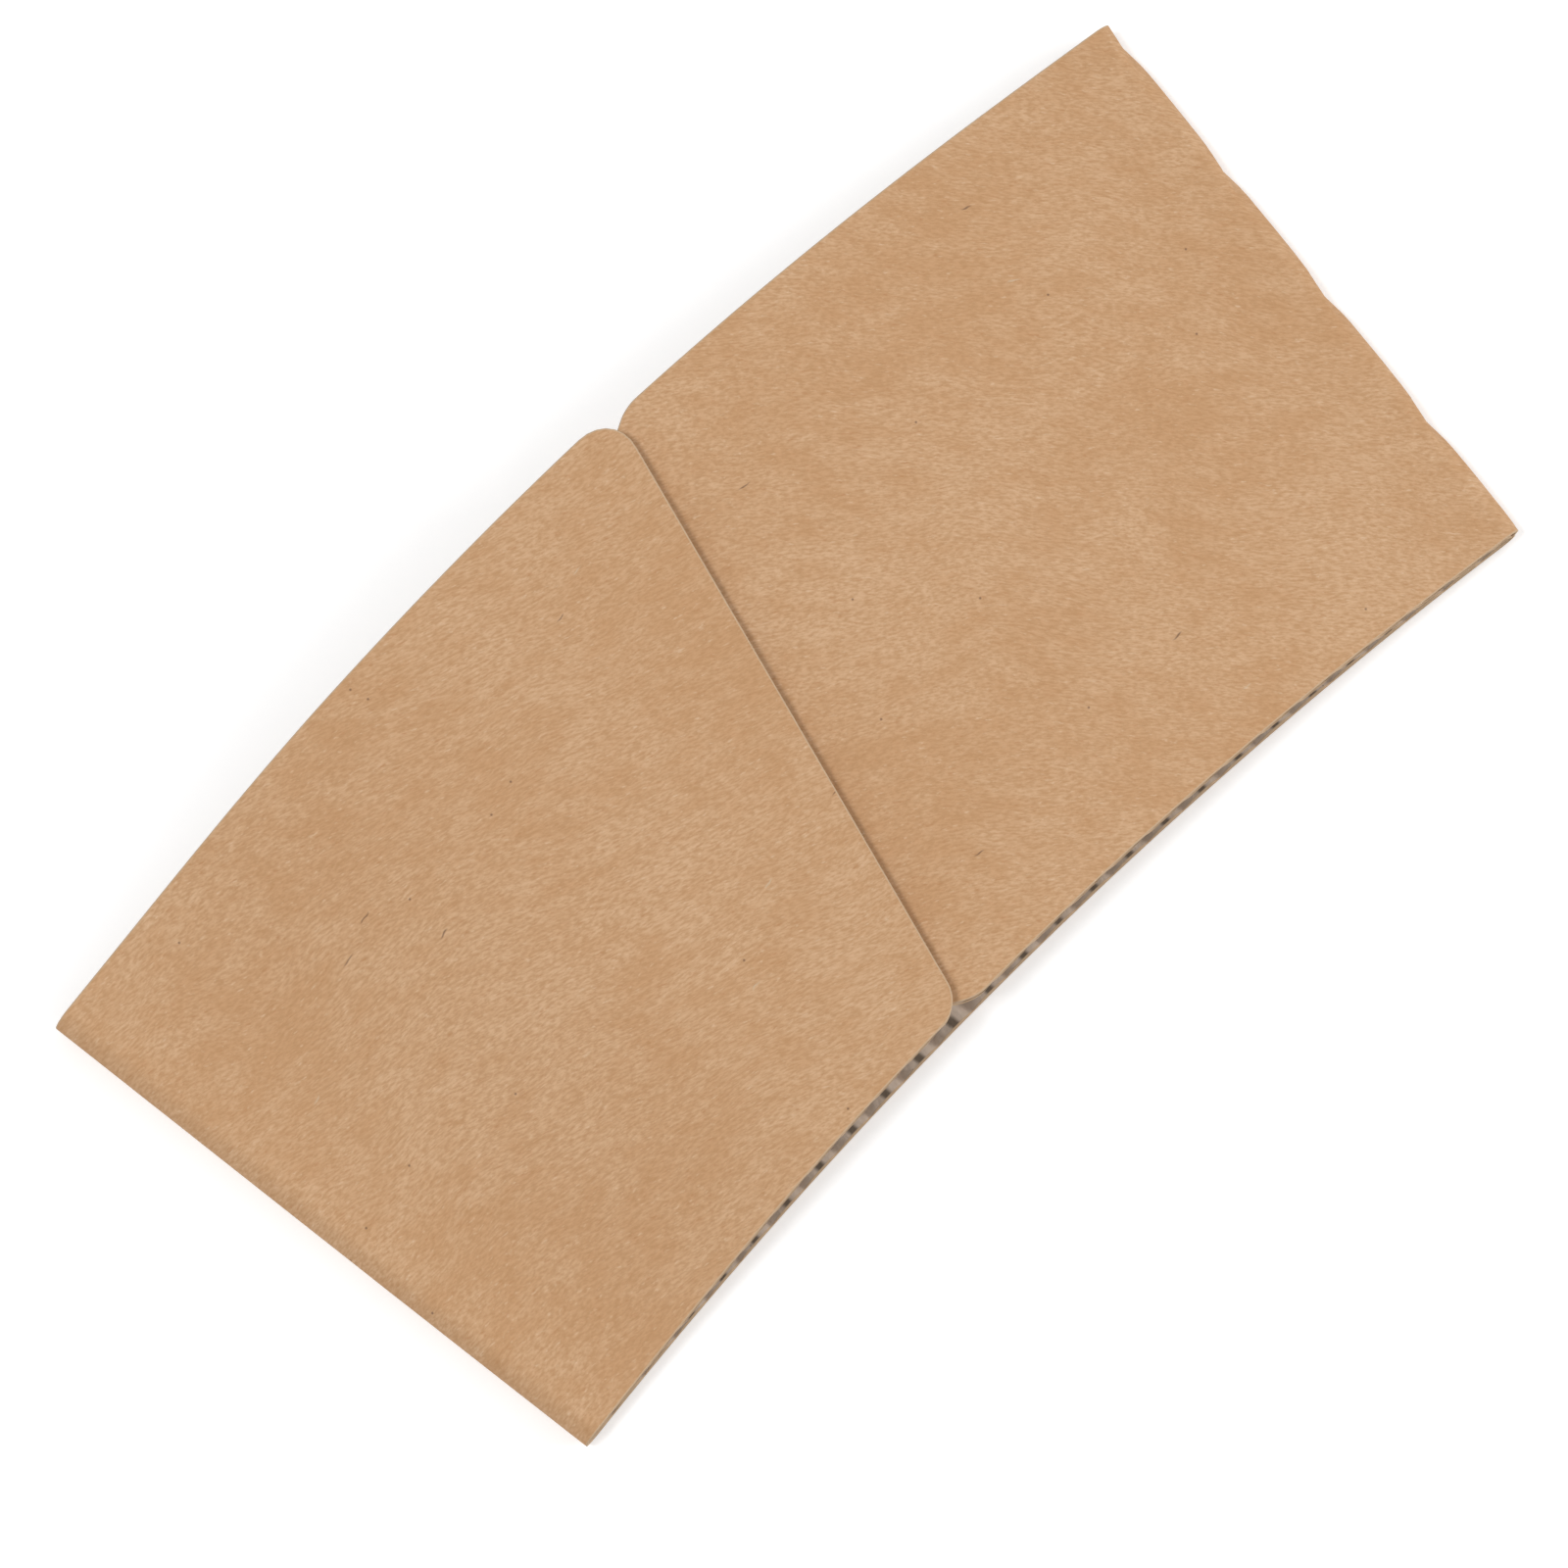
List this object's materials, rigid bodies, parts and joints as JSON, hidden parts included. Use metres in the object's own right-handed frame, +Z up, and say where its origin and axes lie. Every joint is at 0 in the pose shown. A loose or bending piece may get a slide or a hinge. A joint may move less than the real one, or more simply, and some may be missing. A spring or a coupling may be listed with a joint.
{
  "type": "coffee cup sleeve",
  "caption": "Folded-flat cup sleeve of single-face corrugated board, kraft outside and fluted inside, with a slanted glued lap and a lens-shaped way for the cup.",
  "frame": {"origin": "on the surface it lies on, under the middle of the flattened sleeve", "axes": "+X from the fold at the flap's own side to the fold at the tab's side, +Y from the narrow edge to the wide edge, +Z up through the bowed front panel with the lap"},
  "size_m": [0.1328, 0.064, 0.0101],
  "materials": {
    "kraft_liner": "matte, mottled, with fine fibres",
    "fluting_paper": "matte, rough"
  },
  "bodies": {
    "root": {"outer_liner": "kraft_liner", "fluted_medium": "fluting_paper"}
  },
  "joints": []
}
